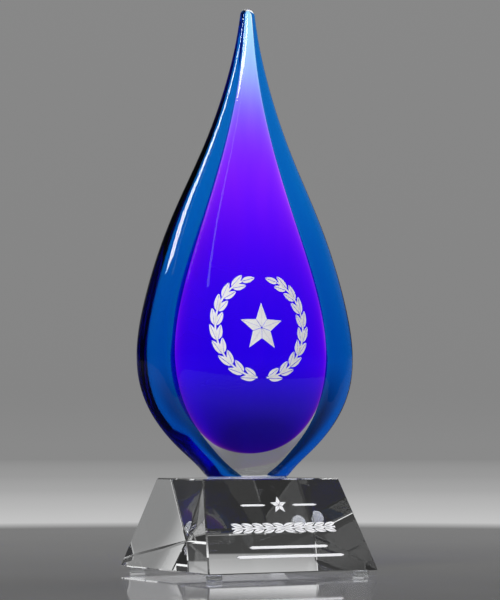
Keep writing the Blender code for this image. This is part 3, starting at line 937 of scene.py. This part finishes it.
def make_floor():
    """A softly polished table that turns far off into a painted glow, brighter nearer the award.
    Through the glass it shows a painted glow instead: painted shade by the award, pale far off.

    Mirror reflections see a painted reflection of it, dark at every distance.
    """
    material, graph = new_graph("pale_table")
    place = graph.add("ShaderNodeNewGeometry").outputs["Position"]
    distance = graph.add("ShaderNodeVectorMath", {"operation": "LENGTH"}, Vector=place).outputs["Value"]
    cloud = graph.noise(TABLE_CLOUD_SCALE, TABLE_CLOUD_DETAIL)
    shader = graph.add("ShaderNodeBsdfPrincipled", None, IOR=TABLE_IOR)
    graph.vary(shader.inputs["Base Color"], cloud, GRAIN_SPAN, TABLE_TONES)
    graph.vary(shader.inputs["Roughness"], cloud, GRAIN_SPAN, TABLE_ROUGHNESS)
    # Far off, the table is replaced by a painted glow, brighter nearer the award, that blends into the
    # backdrop.
    reach = graph.add("ShaderNodeMapRange", None, Value=distance, From_Min=0.0, From_Max=FLOOR_RADIUS)
    far = graph.add("ShaderNodeEmission", None, Color=graph.ramp(reach.outputs[0], FLOOR_FAR_GLOW_STOPS))
    blend = graph.add("ShaderNodeMapRange", None, Value=distance,
                      From_Min=FLOOR_BLEND_START, From_Max=FLOOR_BLEND_END)
    whole = graph.add("ShaderNodeMixShader", None, Fac=blend.outputs[0])
    graph.put(whole.inputs[1], shader)
    graph.put(whole.inputs[2], far)
    # Through glass the table is a painted glow: painted shade close by the award, pale far off.
    through = graph.add("ShaderNodeEmission", None, Color=graph.ramp(distance, FLOOR_PAINTED_THROUGH_GLASS_STOPS))
    path = graph.add("ShaderNodeLightPath")
    # Glossy rays see a painted reflection of the table, dark at every distance.
    mirrored = graph.add("ShaderNodeEmission", None, Color=graph.ramp(distance, FLOOR_PAINTED_REFLECTION_STOPS))
    painted_reflection_mix = graph.add("ShaderNodeMixShader", None, Fac=path.outputs["Is Glossy Ray"])
    graph.put(painted_reflection_mix.inputs[1], whole)
    graph.put(painted_reflection_mix.inputs[2], mirrored)
    mix = graph.add("ShaderNodeMixShader", None, Fac=path.outputs["Is Transmission Ray"])
    graph.put(mix.inputs[1], painted_reflection_mix)
    graph.put(mix.inputs[2], through)
    graph.surface(mix)
    mesh = bpy.data.meshes.new("table")
    work = bmesh.new()
    bmesh.ops.create_circle(work, cap_ends=True, segments=STAGE_SIDES, radius=FLOOR_RADIUS)
    work.to_mesh(mesh)
    work.free()
    mesh.materials.append(material)
    floor = bpy.data.objects.new("table", mesh)
    bpy.context.scene.collection.objects.link(floor)


def show_through_glass_only(card):
    """Add a card to the stage, hidden from every kind of ray except those that have crossed glass."""
    card.visible_camera = False
    card.visible_diffuse = False
    card.visible_glossy = False
    card.visible_shadow = False
    bpy.context.scene.collection.objects.link(card)


def make_ring(name, radius, bottom, top, stops):
    """An upright ring card round the award, seen only through glass; stops are (height, brightness)."""
    material, graph = new_graph(name)
    place = graph.add("ShaderNodeNewGeometry").outputs["Position"]
    height = graph.add("ShaderNodeSeparateXYZ", None, Vector=place).outputs["Z"]
    climb = graph.add("ShaderNodeMapRange", None, Value=height, From_Min=bottom, From_Max=top)
    tone = graph.ramp(climb.outputs[0], [((level - bottom) / (top - bottom), grey) for level, grey in stops])
    graph.surface(graph.add("ShaderNodeEmission", None, Color=tone))
    mesh = bpy.data.meshes.new(name)
    work = bmesh.new()
    bmesh.ops.create_cone(work, segments=STAGE_SIDES, radius1=radius, radius2=radius, depth=top - bottom)
    bmesh.ops.translate(work, verts=work.verts[:], vec=(0.0, 0.0, (bottom + top) / 2.0))
    work.to_mesh(mesh)
    work.free()
    mesh.materials.append(material)
    show_through_glass_only(bpy.data.objects.new(name, mesh))


def make_flag():
    """A grey card on the award's right, fading out to its edges, which the block's end facets show."""
    material, graph = new_graph("grey_flag")
    centre = from_view(FLAG_ASIDE, 0.0, FLAG_HEIGHT)
    place = graph.add("ShaderNodeNewGeometry").outputs["Position"]
    apart = graph.add("ShaderNodeVectorMath", {"operation": "DISTANCE"}, Vector=place)
    apart.inputs[1].default_value = centre
    tone = graph.ramp(apart.outputs["Value"], [(FLAG_CORE, FLAG_TONE), (FLAG_REACH, FLAG_EDGE_TONE)])
    graph.surface(graph.add("ShaderNodeEmission", None, Color=tone))
    corners = [from_view(FLAG_ASIDE, back * FLAG_REACH, FLAG_HEIGHT + up * FLAG_REACH)
               for back, up in ((1.0, 1.0), (1.0, -1.0), (-1.0, -1.0), (-1.0, 1.0))]
    mesh = bpy.data.meshes.new("grey_flag")
    mesh.from_pydata(corners, [], [(0, 1, 2, 3)])
    mesh.materials.append(material)
    show_through_glass_only(bpy.data.objects.new("grey_flag", mesh))


def make_cards():
    """A low ring with one pale band, a tall screen that pales upwards, and a grey flag."""
    make_ring("low_card", CARD_RADIUS, 0.0, CARD_HEIGHT, CARD_STOPS)
    make_ring("screen", SCREEN_RADIUS, SCREEN_BOTTOM, SCREEN_TOP, SCREEN_STOPS)
    make_flag()


def make_world():
    """A plain studio: a grey backdrop, a darker one for reflections, and a lit cove seen through glass."""
    world = bpy.data.worlds.new("studio")
    world.use_nodes = True
    graph = Graph(world.node_tree)
    place = graph.add("ShaderNodeTexCoord").outputs["Generated"]
    height = graph.add("ShaderNodeSeparateXYZ", None, Vector=place).outputs["Z"]
    raised = graph.math("MULTIPLY_ADD", height, 0.5)
    graph.put(raised.node.inputs[2], 0.5)
    backdrop = graph.ramp(raised, BACKDROP_STOPS)
    cove = graph.ramp(raised, COVE_STOPS)
    mirrored = graph.ramp(raised, MIRRORED_STOPS)
    away = graph.add("ShaderNodeVectorMath", {"operation": "DOT_PRODUCT"}, Vector=place)
    away.inputs[1].default_value = (math.sin(VIEW_YAW), math.cos(VIEW_YAW), 0.0)
    side = graph.ramp(away.outputs["Value"], AWAY_STOPS)
    flagged = graph.add("ShaderNodeMix", {"data_type": "RGBA", "blend_type": "MULTIPLY"}, Factor=1.0)
    graph.put(flagged.inputs[6], mirrored)
    graph.put(flagged.inputs[7], side)
    path = graph.add("ShaderNodeLightPath")
    seen = graph.add("ShaderNodeMix", {"data_type": "RGBA"}, Factor=path.outputs["Is Glossy Ray"])
    graph.put(seen.inputs[6], backdrop)
    graph.put(seen.inputs[7], flagged.outputs[2])
    mix = graph.add("ShaderNodeMix", {"data_type": "RGBA"})
    graph.put(mix.inputs["Factor"], path.outputs["Is Transmission Ray"])
    graph.put(mix.inputs[6], seen.outputs[2])
    graph.put(mix.inputs[7], cove)
    sky = graph.add("ShaderNodeBackground", None, Color=mix.outputs[2])
    graph.add("ShaderNodeOutputWorld", None, Surface=sky)
    bpy.context.scene.world = world


def add_softbox(name, place, aim, width, height, power, seen_by):
    """A rectangular softbox in metres, seen only by the kinds of ray that are named."""
    light = bpy.data.lights.new(name, "AREA")
    light.shape = "RECTANGLE"
    light.size = width
    light.size_y = height
    light.energy = power
    box = bpy.data.objects.new(name, light)
    box.location = place
    box.rotation_mode = "QUATERNION"
    box.rotation_quaternion = (Vector(aim) - Vector(place)).to_track_quat("-Z", "Y")
    box.visible_camera = False
    box.visible_diffuse = "diffuse" in seen_by
    box.visible_glossy = "glossy" in seen_by
    box.visible_transmission = "transmission" in seen_by
    bpy.context.scene.collection.objects.link(box)


def from_view(aside, back, up):
    """A place in metres given from the camera's own side: to its right, towards it, and up."""
    forward = Vector((math.sin(VIEW_YAW), math.cos(VIEW_YAW), 0.0))
    right = Vector((math.cos(VIEW_YAW), -math.sin(VIEW_YAW), 0.0))
    return right * aside - forward * back + Vector((0.0, 0.0, up))


def make_lights():
    for name, place, width, height, power, seen_by in SOFTBOXES:
        add_softbox(name, from_view(*place), LIGHT_AIM, width, height, power, seen_by)


def make_camera():
    data = bpy.data.cameras.new("photograph_view")
    data.lens = CAMERA_LENS
    data.sensor_width = CAMERA_SENSOR
    data.dof.use_dof = False
    camera = bpy.data.objects.new("photograph_view", data)
    camera.location = from_view(CAMERA_ASIDE * MM, CAMERA_DISTANCE * MM, CAMERA_HEIGHT * MM)
    towards = from_view(0.0, -math.cos(CAMERA_TILT), math.sin(CAMERA_TILT))
    camera.rotation_mode = "QUATERNION"
    camera.rotation_quaternion = towards.to_track_quat("-Z", "Y")
    bpy.context.scene.collection.objects.link(camera)
    bpy.context.scene.camera = camera


def set_light_paths():
    """Enough bounces for light to cross the nested glass, and a plain view of the colours."""
    scene = bpy.context.scene
    scene.cycles.max_bounces = GLASS_BOUNCES
    scene.cycles.transmission_bounces = GLASS_BOUNCES
    scene.cycles.glossy_bounces = MIRROR_BOUNCES
    scene.cycles.transparent_max_bounces = CLEAR_BOUNCES
    scene.cycles.sample_clamp_indirect = BRIGHTEST_BOUNCE
    scene.cycles.use_denoising = True
    scene.view_settings.view_transform = "Standard"


def main():
    adhesive = make_adhesive()
    fill = make_fill()
    build_drop(make_clear_glass())
    build_core(make_coloured_glass("violet_core_glass", CORE_STREAK, CORE_NECK, CORE_COLOUR,
                                   CORE_DENSITY, WHITE))
    build_wings(make_coloured_glass("teal_wing_glass", WING_STREAK, WHITE, WING_COLOUR,
                                    WING_DENSITY, WING_SKIN))
    build_bond(adhesive)
    build_feet(make_bumper(), adhesive)
    build_emblem(fill)
    build_engraving(fill)
    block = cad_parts["crystal_base"]
    crystal = make_crystal()
    for slot in block.material_slots:
        slot.material = crystal
    make_floor()
    make_cards()
    make_world()
    make_lights()
    make_camera()
    set_light_paths()


main()
